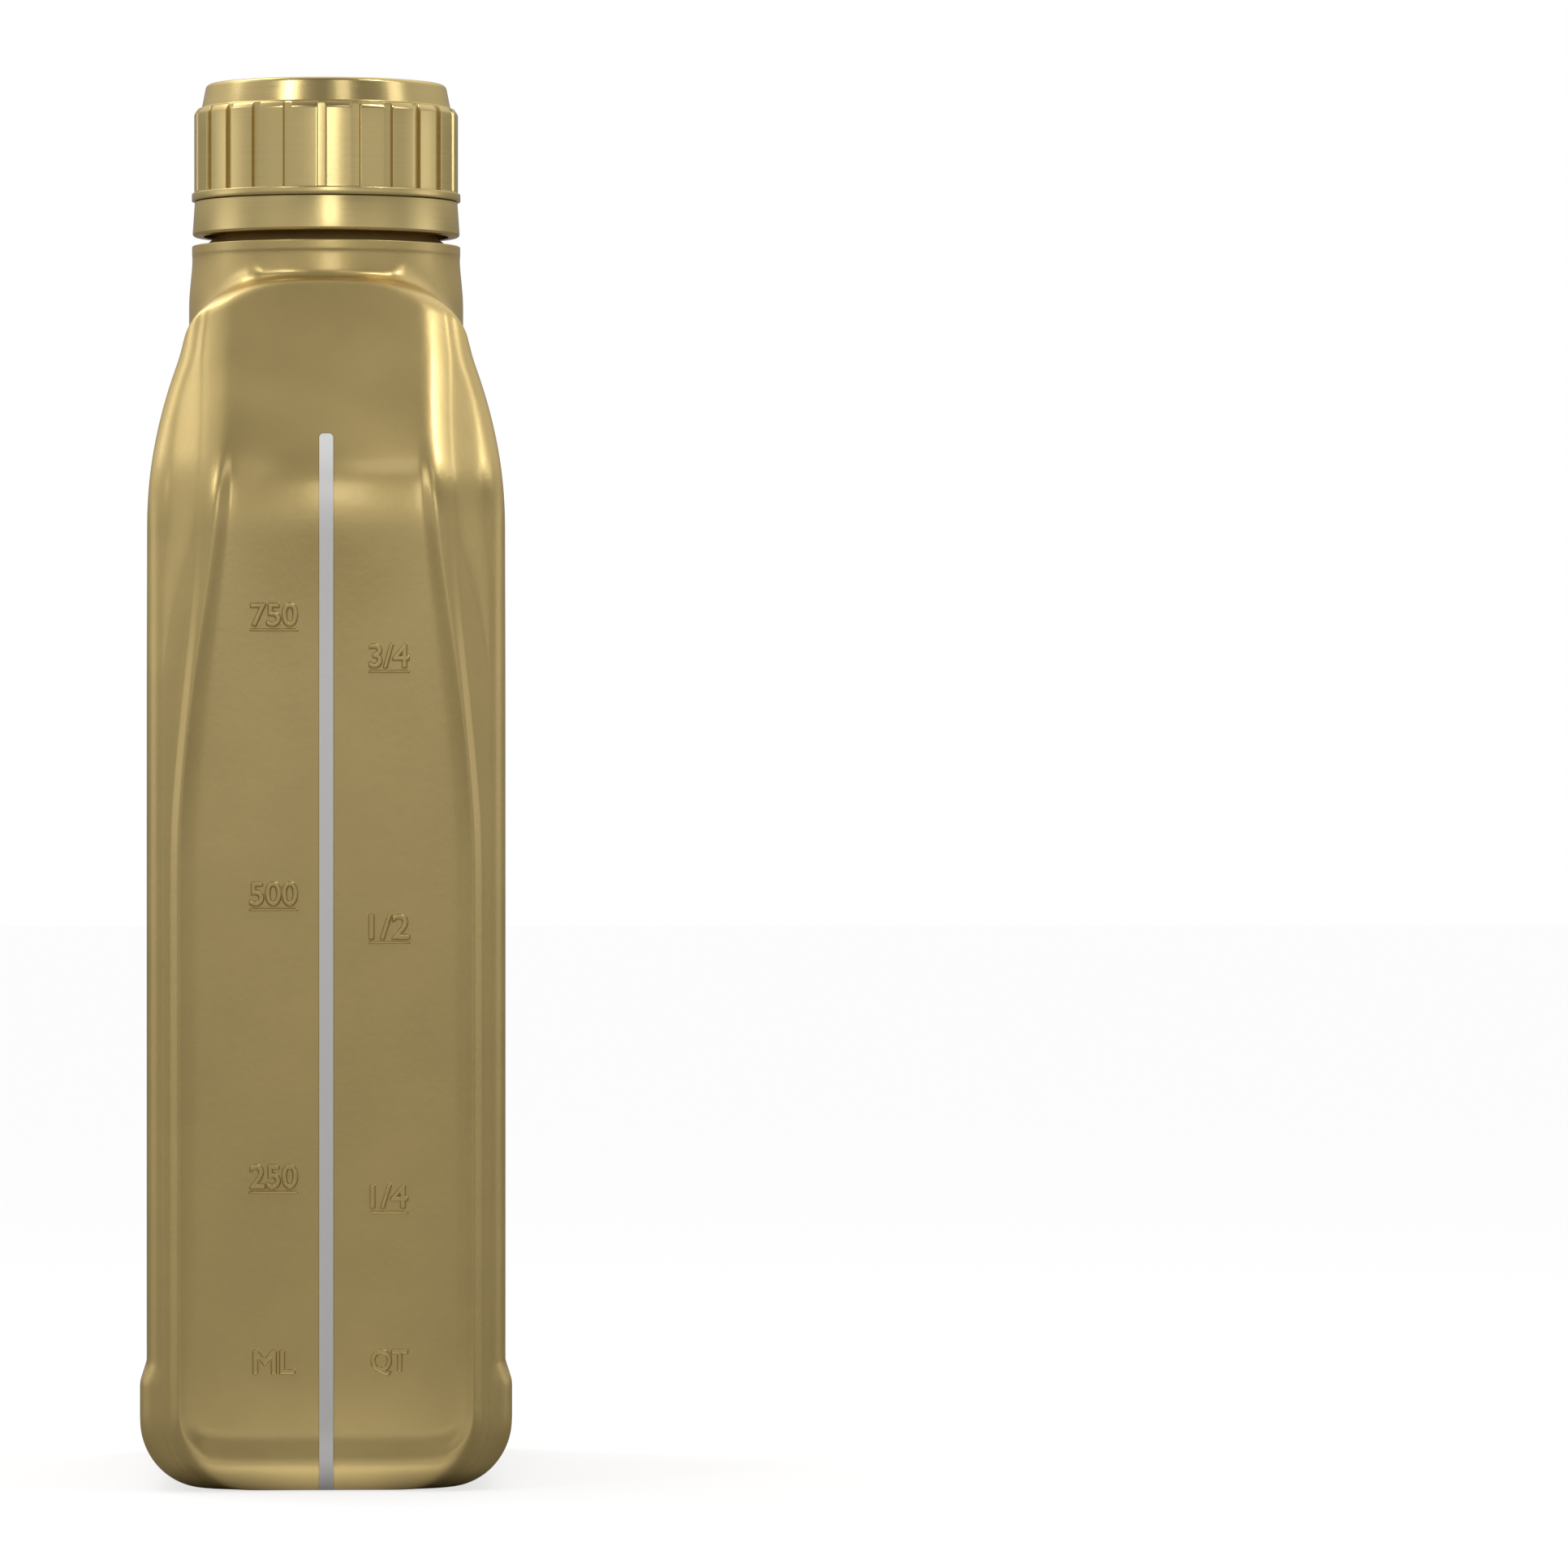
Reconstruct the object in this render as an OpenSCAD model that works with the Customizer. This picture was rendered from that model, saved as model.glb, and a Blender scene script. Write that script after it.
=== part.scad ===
// One-quart motor oil bottle: a blow-moulded body with railed narrow sides, a threaded neck,
// a screw cap with grip lands, its tamper band and the sealing wad inside the cap.
// Frame: +Z up, origin in the middle of the standing face. The graduated narrow side faces -Y.

/* [Body] */
// Thickness between the two broad faces
body_t = 58.4; // [52:0.2:66]
// Width between the two narrow sides
body_w = 104; // [100:1:120]
// Thickness of the blown wall
wall_t = 1; // [0.8:0.1:1.6]
// Height at which the straight sides end and the shoulder bend starts
side_h = 157; // [140:1:175]

/* [Corner posts] */
// Distance from the broad face in to the corner crease
crease_in = 2.6; // [2:0.1:4]
// Extra distance of the crease from the broad face at the shoulder bend
crease_bow = 1.2; // [0:0.1:2]
// Depth of the corner crease behind the rails
crease_d = 2; // [1:0.1:3]
// Depth of the rounded corner post behind its crease
post_d = 4; // [3:0.1:6]

/* [Narrow side] */
// Distance of each rail crest from the middle, on the straight side
rail_low_x = 24.2; // [22.5:0.1:24.8]
// Distance of each rail crest from the middle, on the shoulder
rail_top_x = 17.6; // [15:0.1:18.4]
// Height at which the rails start to draw together
rail_turn_z = 93; // [70:1:115]
// Height at which the rails stop drawing together
rail_end_z = 178; // [165:1:182]
// Width of the ramp between the side panel and a rail crest
rail_ramp_w = 3.6; // [2:0.1:5]
// Least width of a rail from its crest to the valley outside it
rail_fall_w = 1.9; // [1.2:0.1:2.2]
// Depth of the side panel behind the rails
panel_d = 0.8; // [0.3:0.1:1.4]
// Height of the lower edge of the side panel
panel_z = 6; // [4:0.5:12]
// Height at which the facet beside each rail starts
facet_z = 129; // [110:1:140]
// How fast the facet widens with height
facet_spread = 0.19; // [0.1:0.01:0.25]

/* [Label panel] */
// Width of the plain recess for a label on each broad face
label_w = 82; // [60:1:86]
// Height of the recess
label_h = 122; // [90:1:126]
// Height of its lower edge
label_z = 26; // [24:1:30]
// Depth of the recess
label_d = 0.8; // [0.3:0.1:1]
// Corner radius of the recess
label_r = 7; // [3:1:12]

/* [Base] */
// Radius of the rounded edge at the base
base_r = 11.5; // [9:0.5:13]
// Width of the flat ring that the bottle stands on
foot_w = 3.5; // [2:0.5:6]
// Height of the pushed-up middle of the base
pushup_h = 3; // [1.5:0.5:5]
// How far the bumper stands out from each broad face
bumper_out = 1.1; // [0.4:0.1:2]
// Height at which the bumper starts to fall back to the broad face
bumper_h = 17.5; // [14:0.5:18]
// Height of the step from the bumper to the broad face
bumper_step = 3.3; // [2:0.1:5]

/* [Shoulder] */
// Height of the shoulder from the bend up to its crest
shoulder_h = 41.3; // [36:0.1:44]
// Lean of the sloping narrow side from upright, in degrees
slope_a = 36; // [30:1:38]
// Radius of the bend between the straight side and the slope
bend_r = 18.7; // [10:0.1:24]
// Radius by which the broad faces lean in over the shoulder
lean_r = 80; // [76:1:120]
// Half width of the arch that the crest of the shoulder follows
crest_half = 23.6; // [23.2:0.1:26]
// Height of that arch from its middle down to its ends
crest_fall = 14.6; // [12:0.1:16]

/* [Collar] */
// Radius of the collar at its top
collar_r = 22.7; // [22:0.1:23.5]
// Growth of the collar radius down to the shoulder
collar_flare = 0.5; // [0:0.1:0.8]
// Height of the plain band at the top of the collar
collar_band_h = 1.7; // [1:0.1:3]
// How far the band stands proud of the cove below it
collar_lip = 0.25; // [0.1:0.05:0.4]
// Height of the hollow cove from the crest to the band
cove_h = 5; // [4:0.1:7]

/* [Neck] */
// Radius of the neck bore
bore_r = 16.6; // [14:0.1:17]
// Radius of the neck wall under the thread
neck_r = 18.2; // [17.8:0.1:18.6]
// Height of the neck above the collar
neck_h = 24.7; // [22:0.1:28]
// Height of the step at the foot of the neck
neck_foot_h = 1.8; // [1:0.1:2]
// How far the foot and the locking bead stand out from the neck wall
bead_out = 2; // [1.6:0.1:2.1]
// Height of the underside of the locking bead above the collar
bead_z = 4; // [3.8:0.1:4.4]
// Height of the locking bead
bead_h = 1.4; // [1:0.1:2]

/* [Thread] */
// Rise of the thread in one turn
thread_pitch = 4.2333; // [3.9:0.0001:5]
// Number of turns
thread_turns = 1.5; // [1:0.25:1.75]
// How far each thread stands out from its wall
thread_d = 1.4; // [1:0.1:1.5]
// Width of a thread where it meets its wall
thread_root = 2; // [1.6:0.1:2.2]
// Width of a thread at its crest
thread_crest = 1; // [0.6:0.1:1.2]
// Distance from the neck rim to the middle of the thread start
thread_start = 3.3; // [3.2:0.1:4.5]

/* [Cap] */
// Radius over the grip lands
land_r = 22.1; // [21.8:0.1:23]
// Depth of the grooves between the lands
groove_d = 0.6; // [0.3:0.1:0.8]
// Width of each groove
groove_w = 1.5; // [1:0.1:2.5]
// Number of grooves
groove_n = 24; // [12:1:36]
// Turn of the groove pattern from the front, in degrees
groove_turn = -2; // [-7:0.5:7]
// Height of the bevel at the top of each land
land_bevel = 1; // [0.5:0.1:2]
// Distance from the cap top down to the top of the lands
crown_h = 4.6; // [3.5:0.1:6]
// Radius of the cap top
crown_r = 19.4; // [18:0.1:20]
// Radius of the crown where it meets the lands
crown_foot_r = 20.9; // [20.5:0.1:21.2]
// Rounding of the edge of the cap top
crown_edge = 0.5; // [0.2:0.1:1]
// Thickness of the cap top
cap_top_t = 1.5; // [1:0.1:2.5]
// How far the flange stands out from the lands
flange_out = 0.4; // [0.2:0.1:0.8]
// Height of the flange
flange_h = 1.3; // [0.8:0.1:2]

/* [Tamper band] */
// Height of the tamper band
band_h = 5.6; // [5:0.1:5.8]
// Gap between the collar and the band
band_gap = 1.6; // [1:0.1:1.7]
// How far the top of the band lies inside the flange
band_in = 0.5; // [0.3:0.1:0.8]
// Growth of the band radius from its top to its bottom
band_flare = 0.4; // [0:0.1:0.6]
// Height of the breakable bridges between the band and the cap
bridge_h = 0.3; // [0.2:0.1:0.6]
// Width of each bridge
bridge_w = 1; // [0.6:0.1:2]
// Number of bridges
bridge_n = 12; // [6:1:18]
// How far each catch reaches in under the locking bead
catch_reach = 0.9; // [0.5:0.1:1.2]
// Height of each catch
catch_h = 1.3; // [0.8:0.1:1.5]
// Number of catches
catch_n = 8; // [4:1:12]

/* [Sealing wad] */
// Thickness of the wad between the neck rim and the cap top
wad_t = 0.9; // [0.6:0.1:1.5]

/* [Fits] */
// Clearance between the cap bore and the thread crest of the neck
cap_fit = 0.4; // [0.3:0.05:0.6]
// Clearance between the flanks of the two threads
flank_fit = 0.3; // [0.2:0.05:0.5]
// Clearance between the band and the locking bead, at its side and below it
band_fit = 0.35; // [0.3:0.05:0.5]
// Clearance between the neck rim and the seat of the wad inside the cap
seat_fit = 0.3; // [0.2:0.05:0.5]
// Clearance between the wad and its seat
wad_fit = 0.2; // [0.1:0.05:0.4]

/* [Hidden] */
$fn = 96;
eps = 0.01;

GOLD = [0.66, 0.58, 0.38];
GOLD_CAP = [0.74, 0.66, 0.44];
WAD = [0.93, 0.93, 0.9];

// Heights of the stack from the collar to the cap top
crest_z = side_h + shoulder_h;
crown_z = crest_z - 13.5;
cove_top_z = crest_z + cove_h;
collar_z = cove_top_z + collar_band_h;
rim_z = collar_z + neck_h;
cap_in_z = rim_z + wad_t;
cap_top_z = cap_in_z + cap_top_t;
band_z = collar_z + band_gap;
band_top_z = band_z + band_h;
flange_z = band_top_z + bridge_h;
land_z = flange_z + flange_h;
land_top_z = cap_top_z - crown_h;
bead_low_z = collar_z + bead_z;

// Radii that follow from the neck and the cap
thread_r = neck_r + thread_d;
cap_bore_r = thread_r + cap_fit;
seat_r = neck_r + seat_fit;
seat_taper_h = 1.4;
seat_z = rim_z - thread_start + thread_root / 2 + 0.1;
bead_r = neck_r + bead_out;
band_bore_r = bead_r + band_fit;
flange_r = land_r + flange_out;
band_top_r = flange_r - band_in;
band_low_r = band_top_r + band_flare;
funnel_r = bore_r + 0.4;

// Half sizes of the straight body and of the label recess
half_t = body_t / 2;
half_w = body_w / 2;
label_ramp = 1.5;
post_start = 20;

// The thread of the cap runs this far below that of the neck, flank beside flank
function thread_half(t) = (thread_root + (thread_crest - thread_root) * t) / 2;
cap_thread_drop = thread_half(cap_fit / thread_d) + thread_crest / 2 + flank_fit;

// Smooth step from 0 to 1
function smooth(t) = let (u = min(1, max(0, t))) u * u * (3 - 2 * u);

// Half thickness of the body at height z, without and with the bumper at its foot
function base_in(z) = z < base_r ? base_r - sqrt(base_r ^ 2 - (base_r - max(z, 0)) ^ 2) : 0;
function lean_in(z) = let (d = max(0, z - side_h)) lean_r - sqrt(lean_r ^ 2 - d ^ 2);
function plain_half_t(z) = half_t - base_in(z) - lean_in(z);
function body_half_t(z) =
    plain_half_t(z) + bumper_out * (1 - smooth((z - bumper_h) / bumper_step));

// Half width of the body at height z: straight, then the bend, then the slope
function bend_in(d) = bend_r - sqrt(bend_r ^ 2 - d ^ 2);
function slope_in(d) =
    d < bend_r * sin(slope_a)
        ? bend_in(max(0, d))
        : bend_in(bend_r * sin(slope_a)) + (d - bend_r * sin(slope_a)) * tan(slope_a);
function body_half_w(z) = half_w - base_in(z) - slope_in(z - side_h);

// Lines of the narrow side at height z, as distances from its middle
function near_bend(z) = sin(180 * min(1, max(0, (z - side_h + 13) / 38))) ^ 2;
function crease_x(z) = plain_half_t(z) - crease_in - crease_bow * near_bend(z);
function rail_shift(z) = smooth((z - rail_turn_z) / (rail_end_z - rail_turn_z));
function rail_x(z) =
    min(rail_low_x - (rail_low_x - rail_top_x) * rail_shift(z) - base_in(z),
        crease_x(z) - rail_fall_w - 0.3);
function valley_x(z) =
    max(rail_x(z) + rail_fall_w,
        min(crease_x(z) - 0.3, crease_x(z) - facet_spread * (z - facet_z)));
function relief(z) = smooth((z - panel_z) / 5);

// One quarter of the outline at height z, from the middle of the narrow side to the broad face.
// Each pair is the distance from the middle and the depth behind the rails.
PANEL_STEPS = [0, 0.35, 0.7, 1];
RAMP_STEPS = [0.3, 0.6, 0.85];
FALL_STEPS = [0.35, 0.7];
POST_STEPS = [0.2, 0.45, 0.75, 1];
BROAD_STEPS = [0.8, 0.6, 0.4, 0.2, 0];
function side_marks(z, f) =
    let (
        xr = rail_x(z),
        xv = valley_x(z),
        xc = crease_x(z),
        open = xc - xv,
        dv = crease_d - 0.22 * open,
        dc = crease_d + 0.28 * open,
        at = body_half_t(z),
        ramp = max(1, min(rail_ramp_w, xr / 2)),
        xp = xr - ramp
    ) concat(
        [for (k = PANEL_STEPS) [xp * k, panel_d * f]],
        [for (k = RAMP_STEPS) [xp + ramp * k, panel_d * f * (1 - smooth(k))]],
        [[xr, 0]],
        [for (k = FALL_STEPS) [xr + (xv - xr) * k, dv * k * k]],
        [[xv, dv], [xc, dc]],
        [for (k = POST_STEPS)
            let (u = post_start + (90 - post_start) * k)
            [xc + (at - xc) * (sin(u) - sin(post_start)) / (1 - sin(post_start)),
             dc + post_d * (cos(post_start) - cos(u)) / cos(post_start)]]
    );
function label_depth(y, z) =
    let (
        dz = min(z - label_z, label_z + label_h - z),
        nip = dz >= label_r ? 0 : label_r - sqrt(label_r ^ 2 - (label_r - max(dz, 0)) ^ 2),
        dy = label_w / 2 - nip - y
    ) label_d * smooth(dz / label_ramp) * smooth(dy / label_ramp);
function broad_marks(z, y_post) =
    let (
        y_edge = min(label_w / 2, 0.94 * y_post),
        y_in = y_edge - label_ramp,
        at = body_half_t(z)
    ) concat(
        [[at, y_edge], [at - label_depth(y_in, z), y_in]],
        [for (k = BROAD_STEPS) [at - label_depth(y_in * k, z), y_in * k]]
    );
function quarter(z) =
    let (b = body_half_w(z), side = side_marks(z, relief(z)), n = len(side))
    concat([for (m = side) [m[0], m[1] - b]],
           [for (m = broad_marks(z, b - side[n - 1][1])) [m[0], -m[1]]]);

// The whole outline, mirrored from its quarter
function whole(q) =
    let (n = len(q)) concat(
        [for (i = [0:n - 1]) q[i]],
        [for (i = [n - 2:-1:0]) [q[i][0], -q[i][1], q[i][2]]],
        [for (i = [1:n - 1]) [-q[i][0], -q[i][1], q[i][2]]],
        [for (i = [n - 2:-1:1]) [-q[i][0], q[i][1], q[i][2]]]
    );
function at_z(ring, z) = [for (p = ring) [p[0], p[1], z]];
function outline(z) = whole(at_z(quarter(z), z));

// The crown of the shoulder: its sides run straight up to an arched crest, behind which a hollow
// cove rises to the collar. Each column of points has its own crest, ledge and cove.
function collar_at(z) =
    collar_r - collar_lip + (collar_flare + collar_lip) * smooth((cove_top_z - z) / 12);
function crest_height(x) =
    crest_z - crest_fall * (1 - (1 - min(1, abs(x) / crest_half) ^ 3) ^ (1 / 3));
function flat(p) = norm([p[0], p[1]]);
function scaled(p, r, z) = [p[0] * r / flat(p), p[1] * r / flat(p), z];
crest_quarter =
    let (
        side = side_marks(crown_z, 0),
        low = quarter(crown_z),
        n = len(side),
        k = (collar_r + 0.2) / side[n - 1][0],
        y_post = crest_point(side[n - 1], k)[1]
    ) concat(
        [for (m = side) crest_point(m, k)],
        [for (i = [n:len(low) - 1])
            let (z = crest_height(low[i][0] * k), p = [low[i][0] * k, y_post * low[i][1] / low[n - 1][1]])
            scaled(p, max(flat(p), collar_at(z)), z)]
    );
function crest_point(m, k) =
    let (z = crest_height(m[0] * k)) [m[0] * k, 0.75 * m[1] - body_half_w(z), z];
function mixed(p, q, t) = [for (i = [0:len(p) - 1]) p[i] + (q[i] - p[i]) * t];
crown_low = at_z(quarter(crown_z), crown_z);
crest_sharp = crest_quarter;
crest_soft = [for (p = crest_quarter) scaled(p, max(flat(p) - 0.3, collar_at(p[2])), p[2] + 0.05)];
ledge = [for (p = crest_quarter)
    let (r = max(collar_at(p[2]), min(flat(p) - 0.7, collar_at(p[2]) + cove_h * 0.8)))
    scaled(p, r, max(crest_height(p[0] * r / flat(p)), p[2]) + 0.2)];
cove_steps = [0.04, 0.12, 0.25, 0.45, 0.7, 1];
function cove(t) = 1 - sqrt(1 - (1 - min(1, t)) ^ 2);
function cove_row(v) = [for (p = ledge)
    let (
        z = p[2] + (cove_top_z - p[2]) * v,
        reach = max(0, flat(p) - collar_at(p[2])),
        rise = 0.01 + min(cove_top_z - p[2], cove_h * min(1, reach / 3))
    ) scaled(p, collar_at(z) + reach * cove((z - p[2]) / rise), z)];
function round_row(r, z) = [for (p = crest_quarter) scaled(p, r, z)];

// The inner outline: each point moved in by w, square to its neighbours
function moved_in(ring, w) =
    let (n = len(ring))
    [for (i = [0:n - 1])
        let (d = ring[(i + 1) % n] - ring[(i + n - 1) % n])
        ring[i] + w * [-d[1], d[0], 0] / flat(d)];
function shrunk(ring, d) =
    let (kx = (max([for (p = ring) p[0]]) - d) / max([for (p = ring) p[0]]),
         ky = (max([for (p = ring) p[1]]) - d) / max([for (p = ring) p[1]]))
    [for (p = ring) [p[0] * kx, p[1] * ky]];

// Heights of the outlines, which lie closer together where the form turns
foot_zs = [for (k = [0:6]) base_r * (1 - cos(90 * k / 6))];
bumper_zs = [bumper_h, bumper_h + bumper_step * 0.3, bumper_h + bumper_step * 0.7,
             bumper_h + bumper_step];
label_zs = concat(
    [for (d = [0, label_ramp, label_r * 0.5, label_r]) label_z + d],
    [for (d = [label_r, label_r * 0.5, label_ramp, 0]) label_z + label_h - d]
);
rail_zs = [for (k = [0:4]) rail_turn_z + (facet_z - rail_turn_z) * k / 4];
facet_zs = [for (k = [1:2]) facet_z + (side_h - 12 - facet_z) * k / 2];
bend_zs = [for (k = [0:4]) side_h + bend_r * sin(slope_a) * k / 4];
slope_zs = [for (k = [1:3]) side_h + bend_r * sin(slope_a)
            + (crown_z - side_h - bend_r * sin(slope_a)) * k / 3];
function sorted(v) =
    len(v) < 2
        ? v
        : let (m = v[floor(len(v) / 2)])
          concat(sorted([for (x = v) if (x < m) x]), [m], sorted([for (x = v) if (x > m) x]));
outer_zs = sorted(concat(foot_zs, bumper_zs, label_zs, rail_zs, facet_zs, bend_zs, slope_zs));
inner_zs = sorted(concat([for (k = [1, 2, 3, 4, 6]) foot_zs[k]], [bumper_h, bumper_h + bumper_step],
                         [for (k = [0, 2, 4]) rail_zs[k]], facet_zs,
                         [for (k = [0, 2, 4]) bend_zs[k]], [for (k = [0:2]) slope_zs[k]]));

// The foot, from the pushed-up middle out to the flat ring, and the skins above it
function foot_rings(ring, lift) = [
    at_z(shrunk(ring, foot_w + 9), lift + pushup_h),
    at_z(shrunk(ring, foot_w + 3), lift + pushup_h / 2),
    at_z(shrunk(ring, foot_w), lift)
];
outer_rings = concat(
    foot_rings(outline(0), 0),
    [for (z = outer_zs) outline(z)],
    [for (t = [0.5, 0.95]) whole([for (i = [0:len(ledge) - 1]) mixed(crown_low[i], crest_sharp[i], t)])],
    [whole(crest_soft), whole(ledge)],
    [for (v = cove_steps) whole(cove_row(v))],
    [whole(round_row(collar_r, cove_top_z + collar_lip)), whole(round_row(collar_r, collar_z))]
);
function inner_ring(z) =
    let (c = z < base_r ? (base_r - z) / base_r : 0)
    at_z(moved_in(outline(z), wall_t * sqrt(1 - c * c)), z + wall_t * c);
function every_other(ring) = [for (i = [0:2:len(ring) - 1]) ring[i]];
crest_t = 1.5;
inner_rings = [for (ring = concat(
    foot_rings(outline(0), wall_t),
    [for (z = inner_zs) inner_ring(z)],
    [whole([for (p = crest_quarter) scaled(p, flat(p) - wall_t - 0.2, p[2] - crest_t)]),
     whole([for (p = ledge) scaled(p, max(flat(p) - 0.4, collar_r - crest_t) - 0.4, p[2] - crest_t)]),
     whole([for (p = ledge) scaled(p, collar_r - crest_t, p[2] + 1)]),
     whole(round_row(funnel_r, collar_z - crest_t)), whole(round_row(funnel_r, collar_z))]
)) every_other(ring)];

// A skin through rings of equal length, from the first ring to the last
function skin_faces(first, rings, n, flip) =
    [for (k = [0:rings - 2], i = [0:n - 1])
        let (a = first + k * n + i, b = first + k * n + (i + 1) % n)
        flip ? [a, b, b + n, a + n] : [a, a + n, b + n, b]];

module blown_body() {
    n = len(outer_rings[0]);
    m = n / 2;
    ko = len(outer_rings);
    ki = len(inner_rings);
    inner_at = ko * n;
    top_out = (ko - 1) * n;
    top_in = inner_at + (ki - 1) * m;
    middle = inner_at + ki * m;
    points = concat([for (r = outer_rings, p = r) p], [for (r = inner_rings, p = r) p],
                    [[0, 0, pushup_h], [0, 0, pushup_h + wall_t]]);
    base = [for (i = [0:n - 1]) [middle, i, (i + 1) % n]];
    floor_in = [for (i = [0:m - 1]) [middle + 1, inner_at + (i + 1) % m, inner_at + i]];
    rim = [for (i = [0:m - 1])
        [top_in + i, top_in + (i + 1) % m, top_out + (2 * i + 2) % n, top_out + 2 * i + 1,
         top_out + 2 * i]];
    polyhedron(points,
               concat(base, floor_in, rim, skin_faces(0, ko, n, false),
                      skin_faces(inner_at, ki, m, true)),
               convexity = 6);
}

// A thread that winds up one wall. Its ends run out into the wall.
module thread_ridge(wall_r, out, low_z) {
    steps = round(32 * thread_turns);
    sink = 0.4 * sign(out);
    function run_out(k) = smooth(min(k, steps - k) / 3 + 0.05);
    function profile(k) =
        let (
            a = 360 * thread_turns * k / steps,
            z = low_z + thread_pitch * thread_turns * k / steps,
            r = wall_r + out * run_out(k)
        ) [for (m = [[wall_r - sink, -thread_root / 2 - 0.15], [r, -thread_crest / 2],
                     [r, thread_crest / 2], [wall_r - sink, thread_root / 2 + 0.15]])
            [m[0] * cos(a), m[0] * sin(a), z + m[1]]];
    points = [for (k = [0:steps], p = profile(k)) p];
    last = 4 * steps;
    turn = out > 0 ? 1 : -1;
    sides = [for (k = [0:steps - 1], i = [0:3])
        let (a = 4 * k + i, b = 4 * k + (i + 1) % 4)
        turn > 0 ? [a, b, b + 4, a + 4] : [a, a + 4, b + 4, b]];
    ends = turn > 0 ? [[3, 2, 1, 0], [last, last + 1, last + 2, last + 3]]
                    : [[0, 1, 2, 3], [last + 3, last + 2, last + 1, last]];
    polyhedron(points, concat(sides, ends), convexity = 6);
}
neck_thread_z = rim_z - thread_start - thread_pitch * thread_turns;

module neck_finish() {
    sunk_z = collar_z - 1;
    bead_top_z = bead_low_z + bead_h;
    rotate_extrude()
        polygon([
            [bore_r, sunk_z],
            [bead_r, sunk_z],
            [bead_r, collar_z + neck_foot_h],
            [neck_r, collar_z + neck_foot_h],
            [neck_r, bead_low_z],
            [bead_r, bead_low_z],
            [bead_r, bead_low_z + bead_h / 2],
            [neck_r, bead_top_z],
            [neck_r, rim_z - 0.4],
            [neck_r - 0.4, rim_z],
            [bore_r + 0.3, rim_z],
            [bore_r, rim_z - 0.3]
        ]);
}

module bottle() {
    color(GOLD) {
        blown_body();
        neck_finish();
        thread_ridge(neck_r, thread_d, neck_thread_z);
    }
}

// Outline of the crown: the rounded top edge, the leaning side and the hollow foot
module cap_profile() {
    foot_h = crown_h * 0.35;
    polygon(concat(
        [[0, cap_top_z]],
        [for (k = [0:3])
            [crown_r - crown_edge * (1 - sin(30 * k)), cap_top_z - crown_edge * (1 - cos(30 * k))]],
        [for (k = [0:4])
            let (t = 1 - cos(22.5 * k))
            [crown_r + 0.4 + (crown_foot_r - crown_r - 0.4) * t, land_top_z + foot_h * (1 - sin(22.5 * k))]],
        [[land_r - groove_d, land_top_z], [land_r, land_top_z - land_bevel], [land_r, land_z],
         [flange_r, land_z], [flange_r, flange_z], [0, flange_z]]
    ));
}

module cap() {
    color(GOLD_CAP) {
        difference() {
            rotate_extrude()
                cap_profile();
            translate([0, 0, flange_z - 1])
                cylinder(h = seat_z - flange_z + 1, r = cap_bore_r);
            translate([0, 0, seat_z - eps])
                cylinder(h = seat_taper_h + eps, r1 = cap_bore_r, r2 = seat_r);
            translate([0, 0, seat_z])
                cylinder(h = cap_in_z - seat_z, r = seat_r);
            for (i = [0:groove_n - 1])
                rotate([0, 0, 360 * i / groove_n + groove_turn - 90])
                    translate([land_r - groove_d, -groove_w / 2, land_z])
                        cube([2 * groove_d, groove_w, land_top_z - land_z - land_bevel * 0.7]);
        }
        thread_ridge(cap_bore_r, -thread_d, neck_thread_z - cap_thread_drop);
    }
}

module cap_liner() {
    color(WAD)
        translate([0, 0, rim_z])
            cylinder(h = wad_t, r = seat_r - wad_fit);
}

module ring_parts(count, width, r_in, r_out, z, h) {
    sweep = 360 * width / (2 * PI * r_out);
    for (i = [0:count - 1])
        rotate([0, 0, 360 * i / count])
            rotate_extrude(angle = sweep)
                translate([r_in, z])
                    square([r_out - r_in, h]);
}

module tamper_band() {
    edge = 0.4;
    catch_z = bead_low_z - band_fit - catch_h;
    color(GOLD_CAP) {
        rotate_extrude()
            polygon([
                [band_bore_r, band_z],
                [band_low_r - edge, band_z],
                [band_low_r, band_z + edge],
                [band_top_r, band_top_z],
                [band_bore_r, band_top_z]
            ]);
        ring_parts(catch_n, 6, bead_r - catch_reach, band_bore_r + 0.2, catch_z, catch_h);
        ring_parts(bridge_n, bridge_w, band_top_r - 0.8, band_top_r - 0.1, band_top_z - 0.2,
                   bridge_h + 0.2);
    }
}

bottle();
cap();
cap_liner();
tamper_band();
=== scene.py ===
# Motor oil bottle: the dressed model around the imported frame. Shapes are in mm and angles in degrees.
# The scales of the materials, the camera, the floor and the lamps are in metres.
import math

import bpy
import numpy as np
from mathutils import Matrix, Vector

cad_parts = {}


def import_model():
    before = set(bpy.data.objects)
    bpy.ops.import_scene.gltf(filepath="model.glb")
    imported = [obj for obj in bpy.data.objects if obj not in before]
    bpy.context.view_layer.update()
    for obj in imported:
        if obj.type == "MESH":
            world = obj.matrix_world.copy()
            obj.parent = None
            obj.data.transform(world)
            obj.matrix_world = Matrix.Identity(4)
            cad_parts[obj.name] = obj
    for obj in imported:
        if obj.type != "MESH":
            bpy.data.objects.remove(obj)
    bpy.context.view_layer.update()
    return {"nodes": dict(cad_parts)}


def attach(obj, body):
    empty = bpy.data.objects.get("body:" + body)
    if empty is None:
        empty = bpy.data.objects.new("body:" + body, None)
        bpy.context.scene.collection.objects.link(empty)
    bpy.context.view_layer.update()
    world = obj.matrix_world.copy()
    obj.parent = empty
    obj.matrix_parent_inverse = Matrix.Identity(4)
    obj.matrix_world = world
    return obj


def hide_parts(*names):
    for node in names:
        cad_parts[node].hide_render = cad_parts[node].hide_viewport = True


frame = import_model()
MM = 0.001

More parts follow.
